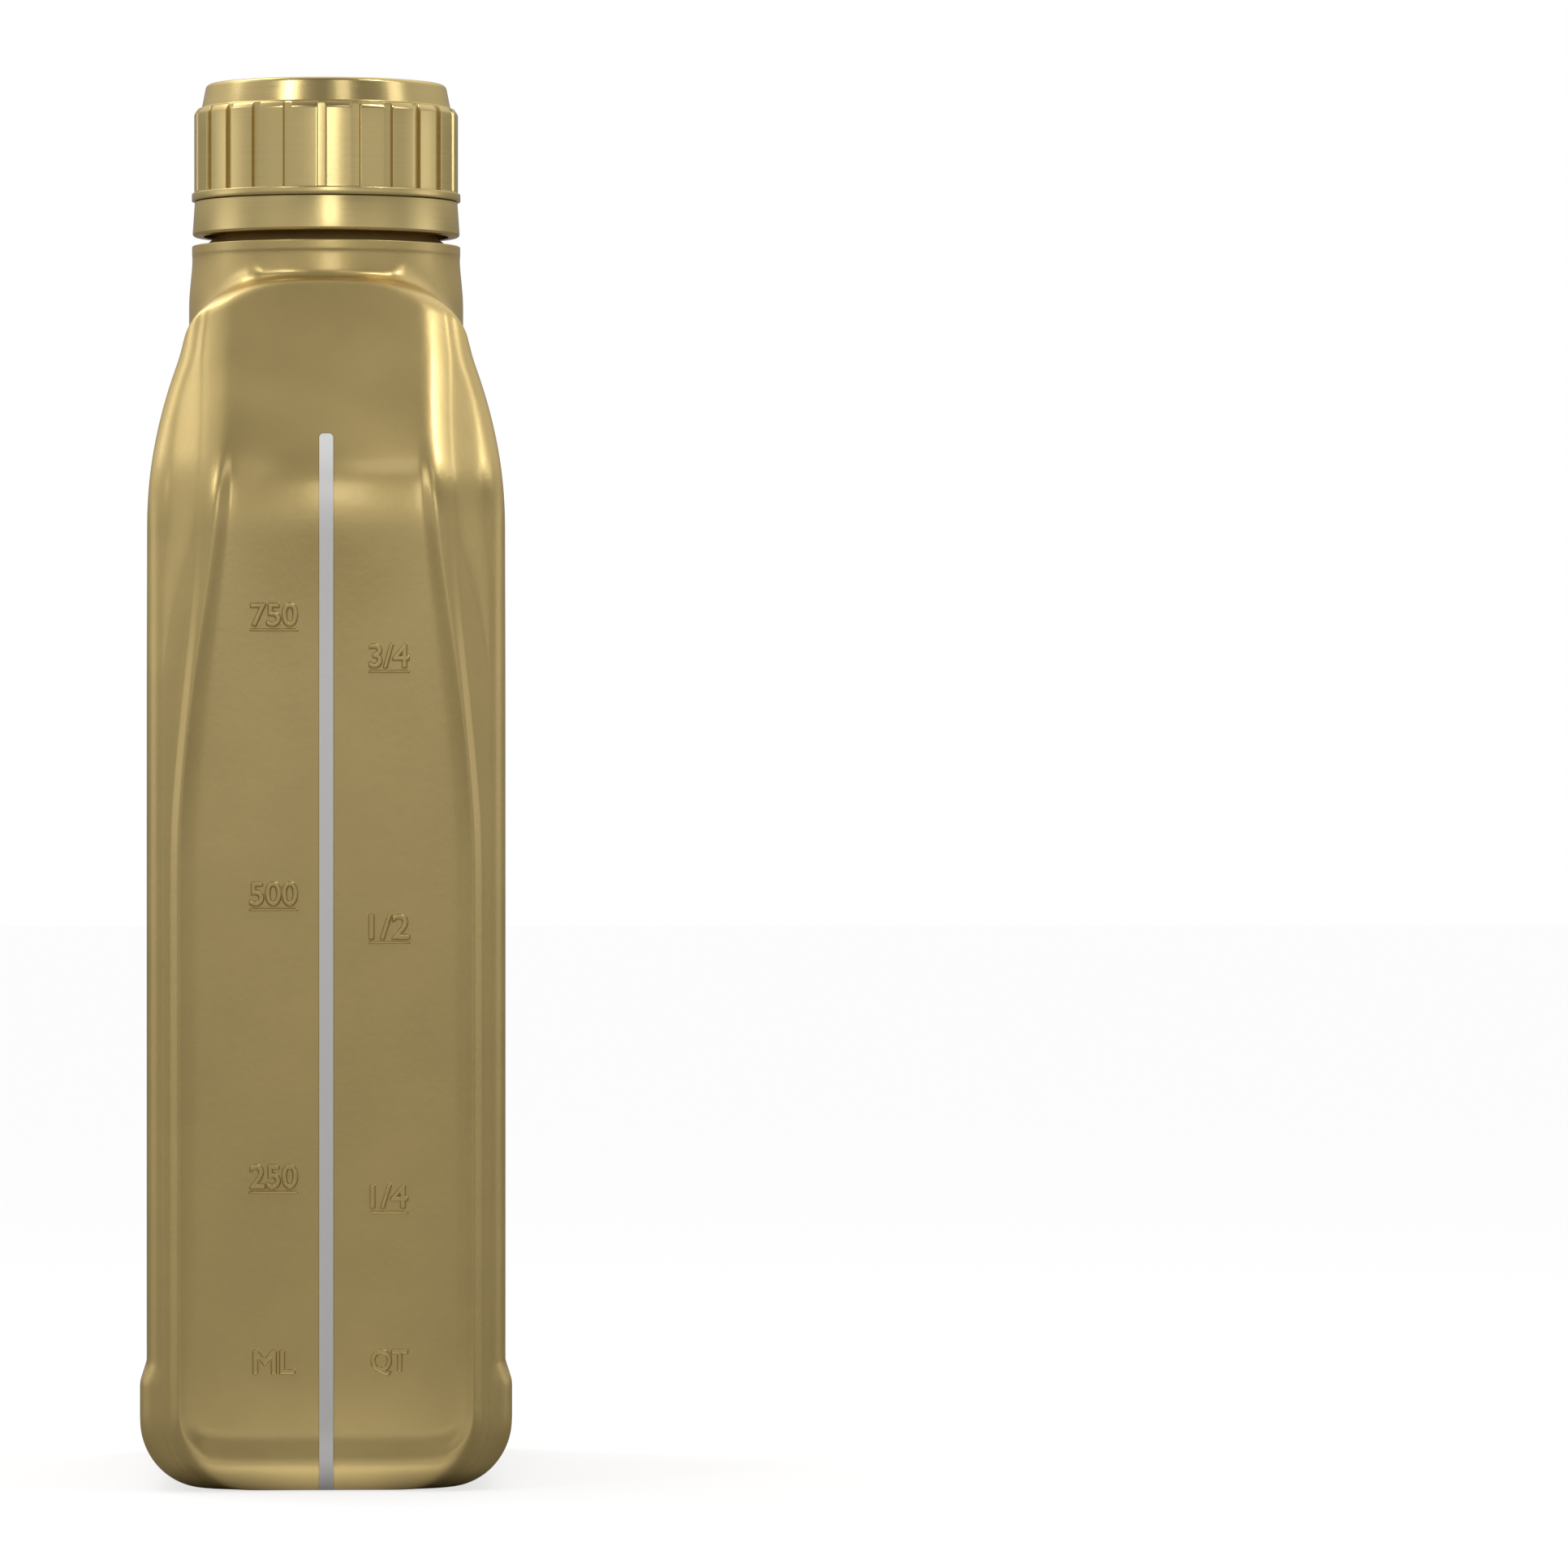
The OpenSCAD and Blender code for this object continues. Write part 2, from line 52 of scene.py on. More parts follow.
# Body: half thickness, half width and the height at which its sides bend
HALF_T, HALF_W, SIDE_H = 29.2, 52.0, 157.0
# Crease beside each corner post, which bows inwards over the bend
CREASE_IN, CREASE_BOW, BOW_BELOW, BOW_SPAN = 2.6, 1.2, 13, 38
POST_D, POST_A = 4.0, 20
# Rails of the narrow side, which lean in towards the shoulder
RAIL_LOW_X, RAIL_TOP_X, RAIL_TURN_Z, RAIL_END_Z, RAIL_CLEAR = 24.2, 18.2, 93.0, 178.0, 1.2
# Panel between the rails
RAMP_W, FALL_W, PANEL_D, PANEL_Z, PANEL_DROP, PANEL_R = 3.3, 1.6, 1.2, 4.3, 5.4, 6.0
PANEL_OVER, PANEL_FADE = 2, 14
PILLOW, PILLOW_OVER, PILLOW_BELOW, PILLOW_ABOVE = 1.3, 8, 18, 11
# Facets between rail and crease
FACET_Z, FACET_SPREAD, FACET_TAN, FLOOR_TAN = 132.0, 0.19, 0.85, 0.25
# Where the rails turn from sharp to round: on the shoulder, and a little at the foot
SOFT_Z, SOFT_SPAN, FOOT_SOFT, FOOT_SOFT_Z, FOOT_SOFT_SPAN = 122, 44, 0.7, 4, 9
# Label panels of the broad faces
LABEL_W, LABEL_H, LABEL_Z, LABEL_D, LABEL_R, LABEL_STEP = 82.0, 122.0, 26.0, 0.8, 7.0, 1.5
# Foot
BASE_R, BASE_SIDE_R, PUSHUP_H = 11.5, 4.5, 3.0
BUMPER_OUT, BUMPER_H, BUMPER_STEP = 1.1, 17.5, 3.3
# Shoulder, crest and the cove behind it
SLOPE_A, BEND_R, LEAN_R = 36.0, 18.7, 80.0
CREST_Z, CREST_HALF, CREST_FALL, CREST_DEPTH, CREST_OVER, CROWN_Z = 198.3, 23.6, 14.6, 0.75, 0.2, 184.8
ROLL_MIN, ROLL_MORE, ROLL_X, ROLL_SPREAD = 0.5, 1.7, 16.5, 5
COVE_H, COVE_REACH, COVE_TIGHT, COVE_OPEN_X, COVE_OPEN_SPAN, COVE_TOP_Z = 5.0, 3, 0.3, 12, 7, 203.3
# Collar and neck
COLLAR_R, COLLAR_FLARE, COLLAR_LIP, COLLAR_FLARE_H, COLLAR_Z = 22.7, 0.5, 0.1, 8, 205.0
BORE_R, NECK_R, BEAD_R, RIM_Z, WALL = 16.6, 18.2, 20.2, 229.7, 1.0

# Control points across a rail: distance from its crest and depth behind it.
# Low on the side the rail is sharp, and on the shoulder it is round.
SHARP = ((-2.3, 0.91), (-1.3, 0.64), (-0.4, 0.22), (0.0, 0.0),
         (0.3, 0.12), (0.88, 0.8), (1.5, 1.54), (1.75, 1.6))
ROUND = ((-3.0, 0.0), (-2.4, 0.03), (-1.7, 0.11), (-0.9, 0.31),
         (0.0, 0.65), (0.8, 1.06), (1.5, 1.5), (2.1, 1.95))
# Shares of the panel's half width and of the corner post's arc that have a control point
PANEL_KEYS = (0, 0.3, 0.6, 0.85, 1)
POST_KEYS = (0.1, 0.25, 0.45, 0.65, 0.83, 1)
# Control points of the broad face: distances inside the label's edge, then shares of what is left
BROAD_KEYS = (0, 0.8, 1.6, 2.8, 4.2, 6, 8.5)
MIDDLE_KEYS = (0.66, 0.33, 0)
# Heights of the control rings, outside and inside
BODY_ZS = (0, 0.3, 0.8, 1.5, 2.4, 3.4, 4.5, 5.6, 6.7, 7.8, 8.9, 10, 11.5, 13, 14.7, 16.5, 17.6, 18.5, 19.5,
           20.5, 21.4, 23, 25, 26, 26.8, 27.6, 28.8, 30.5, 33, 38, 50, 64, 78, 88, 95, 102, 109, 116, 122,
           127, 130.5, 134, 137.5, 141, 143.5, 145.5, 146.5, 147.3, 148, 149.2, 151.5, 154, 156.3, 158.5,
           160.7, 163, 165.3, 167.6, 169.9, 172.5, 175.5, 178.6, 181.7, 184.8)
INNER_ZS = (184.8, 178.6, 172.5, 167.6, 163, 158.5, 154, 148, 141, 130, 116, 95, 64, 30.5, 20.5, 16.5,
            11.5, 8, 5, 2.4, 1)
# Rings of the base and of its inner face: distance inside the outline, height
BASE_RINGS = ((17.6, PUSHUP_H), (15, PUSHUP_H), (11, PUSHUP_H * 0.9), (7, PUSHUP_H * 0.45),
              (4.4, 0.35), (3.4, 0), (1.2, 0))
INNER_BASE_RINGS = ((4.4, 0.35), (9, PUSHUP_H * 0.8), (17.4, PUSHUP_H))
INNER_FOOT_Z = 5
# Points of the spline for each control ring and for each control point round it
ROW_FINE, COL_FINE = 3, 2


def smooth(t):
    """Smooth step from 0 to 1."""
    t = np.clip(t, 0, 1)
    return t * t * (3 - 2 * t)


def arc_in(z, r):
    """How far a bottom edge of radius r lies inside the side at height z."""
    return r - np.sqrt(np.maximum(0, r * r - (r - np.clip(z, 0, r)) ** 2))


def plain_half_t(z):
    return HALF_T - arc_in(z, BASE_R) - (LEAN_R - math.sqrt(LEAN_R ** 2 - max(0, z - SIDE_H) ** 2))


def body_half_t(z):
    return plain_half_t(z) + BUMPER_OUT * (1 - smooth((z - BUMPER_H) / BUMPER_STEP))


def body_half_w(z):
    turn = BEND_R * math.sin(math.radians(SLOPE_A))
    d = max(0, z - SIDE_H)
    if d < turn:
        run = BEND_R - math.sqrt(BEND_R ** 2 - d ** 2)
    else:
        run = BEND_R * (1 - math.cos(math.radians(SLOPE_A))) + (d - turn) * math.tan(math.radians(SLOPE_A))
    return HALF_W - arc_in(z, BASE_SIDE_R) - run


def crease_x(z):
    bow = math.sin(math.pi * min(1, max(0, (z - SIDE_H + BOW_BELOW) / BOW_SPAN))) ** 2
    return plain_half_t(z) - CREASE_IN - CREASE_BOW * bow


def rail_x(z):
    shift = smooth((z - RAIL_TURN_Z) / (RAIL_END_Z - RAIL_TURN_Z))
    x = RAIL_LOW_X - (RAIL_LOW_X - RAIL_TOP_X) * shift - arc_in(z, BASE_R)
    return min(x, crease_x(z) - FALL_W - RAIL_CLEAR)


def relief_at(z, inside):
    """Depth of the side panel at height z and at a distance inside its edge. Its lower corners are round."""
    u = min(PANEL_R, max(0, PANEL_R - inside))
    lift = PANEL_R - math.sqrt(PANEL_R ** 2 - u ** 2)
    fade = 1 - smooth((z - SIDE_H - PANEL_OVER) / PANEL_FADE)
    return PANEL_D * smooth((z - PANEL_Z - lift) / PANEL_DROP) * fade


def pillow(z, k):
    """How far the panel swells over the bend, at a share k of its half width."""
    reach = PILLOW_BELOW if z < SIDE_H + PILLOW_OVER else PILLOW_ABOVE
    return PILLOW * math.exp(-((z - SIDE_H - PILLOW_OVER) / reach) ** 2) * (1 - k * k) ** 1.5


def side_marks(z):
    """Control points of the narrow side at height z: distance from its middle, depth behind the rails."""
    xr, xc, at = rail_x(z), crease_x(z), body_half_t(z)
    k_ramp = max(1.0, min(RAMP_W, xr / 2)) / RAMP_W
    xp = xr - RAMP_W * k_ramp
    soft = max(smooth((z - SOFT_Z) / SOFT_SPAN), FOOT_SOFT * (1 - smooth((z - FOOT_SOFT_Z) / FOOT_SOFT_SPAN)))
    marks = [(xp * k, relief_at(z, xr - xp * k) - pillow(z, k)) for k in PANEL_KEYS]
    for (xs, ds), (xq, dq) in zip(SHARP, ROUND):
        if xs < 0:
            xs, xq = xs * k_ramp, xq * k_ramp
            marks.append((xr + xs + (xq - xs) * soft, ds * relief_at(z, -xs) + dq * soft))
        else:
            marks.append((xr + xs + (xq - xs) * soft, ds + (dq - ds) * soft))
    # Facet: a shallow valley, then the rise to the crease
    xf, df = marks[-1]
    xv = max(xf + 0.3, min(xc - 0.35, xc - FACET_SPREAD * (z - FACET_Z)))
    dv = df + FLOOR_TAN * (xv - xf)
    dc = dv + FACET_TAN * (xc - xv)
    marks += [(xv, dv), (xv * 0.5 + xc * 0.5, (dv + dc) / 2), (xc, dc)]
    # Corner post: an arc from the crease to the broad face
    s, c = math.sin(math.radians(POST_A)), math.cos(math.radians(POST_A))
    for k in POST_KEYS:
        u = math.radians(POST_A + (90 - POST_A) * k)
        marks.append((xc + (at - xc) * (math.sin(u) - s) / (1 - s), dc + POST_D * (c - math.cos(u)) / c))
    return marks


def label_depth(y, z):
    dz = min(z - LABEL_Z, LABEL_Z + LABEL_H - z)
    nip = 0 if dz >= LABEL_R else LABEL_R - math.sqrt(LABEL_R ** 2 - (LABEL_R - max(dz, 0)) ** 2)
    return LABEL_D * smooth(dz / LABEL_STEP) * smooth((LABEL_W / 2 - nip - y) / LABEL_STEP)


def quarter(z):
    """Control points at height z, from the middle of the narrow side to the middle of the broad face."""
    b, at = body_half_w(z), body_half_t(z)
    side = side_marks(z)
    y_post = b - side[-1][1]
    edge = min(LABEL_W / 2, 0.94 * y_post)
    ys = [edge + (y_post - edge) * 0.4] + [edge - k for k in BROAD_KEYS]
    ys += [(edge - BROAD_KEYS[-1]) * k for k in MIDDLE_KEYS]
    pts = [(x, d - b, z) for x, d in side]
    return np.array(pts + [(at - label_depth(y, z), -y, z) for y in ys])


def crest_height(x):
    """Height of the arched crest at a distance x from the middle."""
    return CREST_Z - CREST_FALL * (1 - (1 - np.minimum(1, np.abs(x) / CREST_HALF) ** 3) ** (1 / 3))


def collar_at(z):
    """Radius of the collar's foot, which widens downwards."""
    return COLLAR_R - COLLAR_LIP + (COLLAR_FLARE + COLLAR_LIP) * smooth((COVE_TOP_Z - z) / COLLAR_FLARE_H)


def flat(p):
    return np.hypot(p[:, 0], p[:, 1])


def scaled(p, r, z):
    """The points p moved to radius r and height z in the directions they have from the axis."""
    k = r / flat(p)
    return np.column_stack([p[:, 0] * k, p[:, 1] * k, np.broadcast_to(z, len(p))])


def crest_points():
    """Control points along the crest, for one quarter of the ring."""
    side = np.array(side_marks(CROWN_Z))
    low = quarter(CROWN_Z)
    n = len(side)
    k = (COLLAR_R + CREST_OVER) / side[-1, 0]
    x = side[:, 0] * k
    z = crest_height(x)
    y = CREST_DEPTH * side[:, 1] - np.array([body_half_w(v) for v in z])
    head = np.column_stack([x, y, z])
    tail = low[n:].copy()
    tail[:, 0] *= k
    tail[:, 1] *= y[-1] / low[n - 1, 1]
    tail[:, 2] = crest_height(tail[:, 0])
    tail = scaled(tail, np.maximum(flat(tail), collar_at(tail[:, 2])), tail[:, 2])
    return np.vstack([head, tail])


def whole(q):
    """The closed ring that one quarter gives when it is mirrored twice."""
    n = len(q)
    right = np.vstack([q, q[n - 2::-1] * (1, -1, 1)])
    return np.vstack([right, right[-2:0:-1] * (-1, 1, 1)])


def crown_rows(crest):
    """Control rings from the crown's foot over the crest, down into the cove and up the collar."""
    low = quarter(CROWN_Z)
    # The roll over the crest is narrow in the middle and wide at the corners
    roll = ROLL_MIN + ROLL_MORE * np.exp(-((np.abs(crest[:, 0]) - ROLL_X) / ROLL_SPREAD) ** 2)
    length = np.linalg.norm(crest - low, axis=1)
    rows = [low + (crest - low) * t for t in (0.3, 0.55)]
    rows += [crest - (crest - low) * (roll * k / length)[:, None] for k in (2.3, 1.0)]
    high = crest[:, 2]
    rows.append(scaled(crest, np.maximum(flat(crest) - 0.9 * roll, collar_at(high)), high + 0.03))
    ledge_r = np.minimum(flat(crest) - 0.6 - 1.4 * roll, collar_at(high) + COVE_H * 0.8)
    r = np.maximum(collar_at(high), ledge_r)
    ledge = scaled(crest, r, np.maximum(crest_height(crest[:, 0] * r / flat(crest)), high) + 0.15)
    rows.append(ledge)
    low_z = ledge[:, 2]
    reach = np.maximum(0, r - collar_at(low_z))
    # The cove is tight behind the middle of the crest and opens towards the corners
    opening = COVE_TIGHT + (1 - COVE_TIGHT) * smooth((np.abs(crest[:, 0]) - COVE_OPEN_X) / COVE_OPEN_SPAN)
    rise = 0.01 + np.minimum(COVE_TOP_Z - low_z, COVE_H * np.minimum(1, reach / COVE_REACH) * opening)
    for v in (0.03, 0.08, 0.16, 0.28, 0.42, 0.6, 0.8, 0.96):
        z = low_z + (COVE_TOP_Z - low_z) * v
        t = np.minimum(1, (z - low_z) / rise)
        rows.append(scaled(crest, collar_at(z) + reach * (1 - np.sqrt(1 - (1 - t) ** 2)), z))
    for r, z in ((COLLAR_R, COVE_TOP_Z + 0.15), (COLLAR_R, COVE_TOP_Z + 0.5), (COLLAR_R, COLLAR_Z - 0.3),
                 (COLLAR_R, COLLAR_Z - 0.05), (COLLAR_R - 0.15, COLLAR_Z), (COLLAR_R - 0.8, COLLAR_Z)):
        rows.append(scaled(crest, r, z))
    return rows


def ring_scaled(ring, d, z):
    """The ring drawn in by d towards the axis, at height z."""
    kx = (ring[:, 0].max() - d) / ring[:, 0].max()
    ky = (ring[:, 1].max() - d) / ring[:, 1].max()
    return np.column_stack([ring[:, 0] * kx, ring[:, 1] * ky, np.full(len(ring), z)])


def spline(points, t, closed):
    """Uniform cubic B-spline through an array of control points (first axis), at parameters t."""
    n = len(points)
    i = np.floor(t).astype(int)
    if not closed:
        i = np.clip(i, 0, n - 2)
    f = t - i
    w = ((1 - f) ** 3 / 6, (3 * f ** 3 - 6 * f ** 2 + 4) / 6,
         (-3 * f ** 3 + 3 * f ** 2 + 3 * f + 1) / 6, f ** 3 / 6)
    if closed:
        take = [points[(i + k) % n] for k in (-1, 0, 1, 2)]
    else:
        padded = np.concatenate([2 * points[:1] - points[1:2], points, 2 * points[-1:] - points[-2:-1]])
        take = [padded[i + k] for k in (0, 1, 2, 3)]
    shape = (-1,) + (1,) * (points.ndim - 1)
    return sum(a.reshape(shape) * b for a, b in zip(w, take))


def inner_rows(crest_ring, base):
    """Control rings of the inner skin, from the mouth of the neck down to the base."""
    rows = [scaled(crest_ring, BORE_R + 0.5, COLLAR_Z), scaled(crest_ring, BORE_R, COLLAR_Z - 0.6),
            scaled(crest_ring, BORE_R + 0.4, COLLAR_Z - 2), scaled(crest_ring, COLLAR_R - 2.2, 200.5)]
    for z in (196.5, 192, 188):
        rows.append(scaled(crest_ring, COLLAR_R - 1.2 + (196.5 - z) * 0.1, z))
    for z in INNER_ZS:
        ring = whole(quarter(z))
        side = np.roll(ring, -1, 0) - np.roll(ring, 1, 0)
        normal = np.column_stack([-side[:, 1], side[:, 0]]) / flat(side)[:, None]
        ring[:, :2] += normal * WALL
        ring[:, 2] = z + WALL * max(0, (INNER_FOOT_Z - z) / INNER_FOOT_Z)
        rows.append(ring)
    return rows + [ring_scaled(base, d, z + WALL) for d, z in INNER_BASE_RINGS]


def body_control():
    """Control rings of the outer skin from the middle of the base up to the neck, then of the inner skin."""
    base = whole(quarter(0))
    crest = crest_points()
    outer = [ring_scaled(base, d, z) for d, z in BASE_RINGS]
    outer += [whole(quarter(z)) for z in BODY_ZS]
    outer += [whole(r) for r in crown_rows(crest)]
    return np.array(outer + inner_rows(whole(crest), base)), len(outer)


def link(name, data):
    obj = bpy.data.objects.new(name, data)
    bpy.context.scene.collection.objects.link(obj)
    return obj


def mesh_object(name, points, faces):
    """A smoothly shaded object from points in mm."""
    mesh = bpy.data.meshes.new(name)
    mesh.from_pydata((points * MM).tolist(), [], faces)
    mesh.update()
    for p in mesh.polygons:
        p.use_smooth = True
    return link(name, mesh)


def grid_mesh(name, grid, flip=False):
    """A mesh through rings of points, closed round each ring, with the first and last ring filled."""
    rows, cols = grid.shape[:2]
    idx = np.arange(rows * cols).reshape(rows, cols)
    a, b = idx[:-1], np.roll(idx, -1, 1)[:-1]
    c, d = np.roll(idx, -1, 1)[1:], idx[1:]
    faces = [tuple(q) for q in np.stack([a, b, c, d], -1).reshape(-1, 4).tolist()]
    points = np.vstack([grid.reshape(-1, 3), grid[0].mean(0), grid[-1].mean(0)])
    m = len(points) - 2
    faces += [(m, int(idx[0, (i + 1) % cols]), int(idx[0, i])) for i in range(cols)]
    faces += [(m + 1, int(idx[-1, i]), int(idx[-1, (i + 1) % cols])) for i in range(cols)]
    if flip:
        faces = [f[::-1] for f in faces]
    return mesh_object(name, points, faces)


def shade_angle(obj, degrees):
    """Smooth shading that keeps edges sharper than the given angle."""
    bpy.ops.object.select_all(action="DESELECT")
    obj.select_set(True)
    bpy.context.view_layer.objects.active = obj
    bpy.ops.object.shade_smooth_by_angle(angle=math.radians(degrees))


def body_shell():
    control, outer_count = body_control()
    row_t = np.concatenate([np.arange(0, (outer_count - 1) * ROW_FINE) / ROW_FINE,
                            np.arange(outer_count - 1, len(control))])
    col_t = np.arange(control.shape[1] * COL_FINE) / COL_FINE
    body = spline(control, row_t, closed=False)
    body = spline(body.transpose(1, 0, 2), col_t, closed=True).transpose(1, 0, 2)
    return grid_mesh("bottle_shell", body)


shell = body_shell()


def fillet(corners, steps=5):
    """A polyline of (r, z) with its corners rounded; each corner is (r, z) or (r, z, radius)."""
    out = []
    n = len(corners)
    for i, c in enumerate(corners):
        p = np.array(c[:2], float)
        radius = c[2] if len(c) > 2 else 0
        if radius <= 0 or i in (0, n - 1):
            out.append(p)
            continue
        a = np.array(corners[i - 1][:2], float) - p
        b = np.array(corners[i + 1][:2], float) - p
        la, lb = np.hypot(*a), np.hypot(*b)
        a, b = a / la, b / lb
        half = math.acos(max(-1, min(1, float(a @ b)))) / 2
        cut = min(radius / math.tan(half), la * 0.49, lb * 0.49)
        r = cut * math.tan(half)
        centre = p + (a + b) / np.hypot(*(a + b)) * r / math.sin(half)
        s, e = p + a * cut - centre, p + b * cut - centre
        a0, a1 = math.atan2(s[1], s[0]), math.atan2(e[1], e[0])
        turn = (a1 - a0 + math.pi) % (2 * math.pi) - math.pi
        out += [centre + r * np.array([math.cos(a0 + turn * k / steps), math.sin(a0 + turn * k / steps)])
                for k in range(steps + 1)]
    return np.array(out)


def revolve(name, profile, segments):
    """A solid of revolution round the neck's axis from a closed (r, z) outline, counter-clockwise."""
    a = np.arange(segments) * 2 * math.pi / segments
    n = len(profile)
    points = np.stack([profile[:, None, 0] * np.cos(a), profile[:, None, 0] * np.sin(a),
                       np.broadcast_to(profile[:, None, 1], (n, segments))], -1).reshape(-1, 3)
    faces = []
    for i in range(n):
        j = (i + 1) % n
        for k in range(segments):
            m = (k + 1) % segments
            faces.append((i * segments + k, i * segments + m, j * segments + m, j * segments + k))
    return mesh_object(name, points, faces)


# Thread: pitch, turns, height of the ridge, its half widths at root and crest, and the neck thread's start
PITCH, TURNS, THREAD_OUT, ROOT_HALF, CREST_HALF_W = 4.2333, 1.5, 1.4, 1.15, 0.5
THREAD_SINK, THREAD_STEPS, THREAD_RUN_OUT = 0.4, 160, 16
THREAD_Z = RIM_Z - 3.3 - PITCH * TURNS
CAP_THREAD_DROP = 1.66


def helix(name, wall_r, out, low_z):
    """A thread ridge on a wall, running out into it at both ends. It stands inwards where out is below 0."""
    k = np.arange(THREAD_STEPS + 1)
    a = 2 * math.pi * TURNS * k / THREAD_STEPS
    z = low_z + PITCH * TURNS * k / THREAD_STEPS
    r = wall_r + out * smooth(np.minimum(k, THREAD_STEPS - k) / THREAD_RUN_OUT + 0.03)
    foot = wall_r - THREAD_SINK * np.sign(out)
    section = [(foot, -ROOT_HALF), (r, -CREST_HALF_W), (r, CREST_HALF_W), (foot, ROOT_HALF)]
    ring = np.stack([np.stack([rr * np.cos(a), rr * np.sin(a), z + h], -1) for rr, h in section], 1)
    faces = [(4 * i + j, 4 * i + (j + 1) % 4, 4 * i + 4 + (j + 1) % 4, 4 * i + 4 + j)
             for i in range(THREAD_STEPS) for j in range(4)]
    last = 4 * THREAD_STEPS
    faces += [(3, 2, 1, 0), (last, last + 1, last + 2, last + 3)]
    if out < 0:
        faces = [f[::-1] for f in faces]
    return mesh_object(name, ring.reshape(-1, 3), faces)


# Neck finish
neck = revolve("bottle_neck", fillet([
    (BORE_R, COLLAR_Z - 0.8), (BEAD_R, COLLAR_Z - 0.8), (BEAD_R, COLLAR_Z + 0.15, 0.1),
    (NECK_R, COLLAR_Z + 1.8, 0.2), (NECK_R, COLLAR_Z + 4, 0.2), (BEAD_R, COLLAR_Z + 4, 0.15),
    (BEAD_R, COLLAR_Z + 4.7, 0.3), (NECK_R, COLLAR_Z + 5.4, 0.4), (NECK_R, RIM_Z, 0.5),
    (BORE_R, RIM_Z, 0.4)]), 192)
neck_thread = helix("neck_thread", NECK_R, THREAD_OUT, THREAD_Z)

# Cap
CAP_TOP_Z, LAND_TOP, LAND_Z, LAND_R, FLANGE_Z, FLANGE_R = 232.1, 227.9, 213.8, 22.1, 212.5, 22.5
CAP_BORE_R, SEAT_R = 20.0, 18.5
GROOVE_R, GROOVE_N, GROOVE_TURN = 21.5, 24, -2.0
# Points round the cap, in degrees from the middle of a groove, and the groove's depth as a share
GROOVE_HALF = (1.2, 1.66, 1.8, 1.98, 2.2, 2.6, 3.6, 5.0, 6.3)
GROOVE_SHAPE = ((1.2, 1), (1.66, 0.97), (1.8, 0.5), (1.98, 0.03), (2.2, 0))
CAP_CROWN = ((0.001, CAP_TOP_Z), (20.05, CAP_TOP_Z, 0.9), (20.85, LAND_TOP + 0.2, 0.3), (21.3, LAND_TOP + 0.1))
# Rows (r, z) of the grip with its grooves, then of the flange and the inside
CAP_GRIP = ((21.45, LAND_TOP + 0.05), (21.6, LAND_TOP - 0.08), (21.95, LAND_TOP - 0.62),
            (22.07, LAND_TOP - 0.85), (LAND_R, LAND_TOP - 1.15), (LAND_R, 224), (LAND_R, 220),
            (LAND_R, 216.5), (LAND_R, 214.2), (LAND_R, 213.95))
CAP_INSIDE = ((22.12, 213.82), (22.4, LAND_Z), (22.48, 213.72), (FLANGE_R, 213.6), (FLANGE_R, 212.7),
              (22.47, 212.56), (22.38, FLANGE_Z), (21.5, FLANGE_Z), (20.2, FLANGE_Z), (CAP_BORE_R, 212.7),
              (CAP_BORE_R, 220), (CAP_BORE_R, 227.5), (19.6, 227.9), (SEAT_R, 228.9), (SEAT_R, 230.3),
              (18.2, 230.6), (10, 230.6))


def cap_mesh():
    """The cap as rings: down the outside with its grooves, in under the flange and up the bore."""
    half = np.array(GROOVE_HALF)
    step = 360 / GROOVE_N
    on = np.concatenate([[0], half, [step / 2], step - half[::-1]])
    middles = step * np.arange(GROOVE_N) + GROOVE_TURN - 90
    a = np.radians((middles[:, None] + on).ravel())
    off = np.tile(np.minimum(on, step - on), GROOVE_N)
    in_groove = np.interp(off, *zip(*GROOVE_SHAPE))
    rows = [(6, CAP_TOP_Z), (13, CAP_TOP_Z)] + [tuple(p) for p in fillet(CAP_CROWN, 6)[1:]]
    rows += [(r - (r - np.minimum(r, GROOVE_R)) * in_groove, z) for r, z in CAP_GRIP]
    rows += CAP_INSIDE
    seg = len(a)
    grid = np.stack([np.stack([r * np.cos(a), r * np.sin(a), np.full(seg, z)], -1) for r, z in rows])
    return grid_mesh("cap_shell", grid, flip=True)


cap = cap_mesh()
cap_thread = helix("cap_thread", CAP_BORE_R, -THREAD_OUT, THREAD_Z - CAP_THREAD_DROP)

# Tamper band
band = revolve("tamper_ring", fillet([
    (20.55, 206.6, 0.15), (22.4, 206.6, 0.5), (22.0, 212.4, 0.12), (20.55, 212.4, 0.12)], 6), 240)

# Figures. The photograph measures 7.585 pixels a mm on this side, whose middle is at 402, and 966 is
# the level of 114.6 mm. Each mark is its text, its left, right, top and bottom, and its line's level.
PIXELS_A_MM, MIDDLE_PIXEL, LEVEL_PIXEL, LEVEL_Z = 7.585, 402, 966, 114.6
MARKS = [("750", 308.8, 366.8, 741, 770, 774), ("3/4", 454.5, 504, 791, 821, 825),
         ("500", 307.8, 366.8, 1084, 1114, 1118), ("1/2", 454.5, 504.6, 1124, 1155, 1158.6),
         ("250", 307.8, 366.8, 1432, 1462, 1466), ("1/4", 456, 502.4, 1457, 1486, 1491),
         ("ML", 312, 363.6, 1661, 1690, None), ("QT", 457, 502.4, 1660, 1692, None)]
MARK_OUT, MARK_SUNK, MARK_EDGE, MARK_GRID, MARK_BOLD, MARK_RIM = 0.36, 0.05, 0.28, 0.09, 0.11, 0.3
LINE_ABOVE, LINE_BELOW = 1.0, 1.2


def from_middle(x):
    return (x - MIDDLE_PIXEL) / PIXELS_A_MM


def from_floor(y):
    return LEVEL_Z - (y - LEVEL_PIXEL) / PIXELS_A_MM


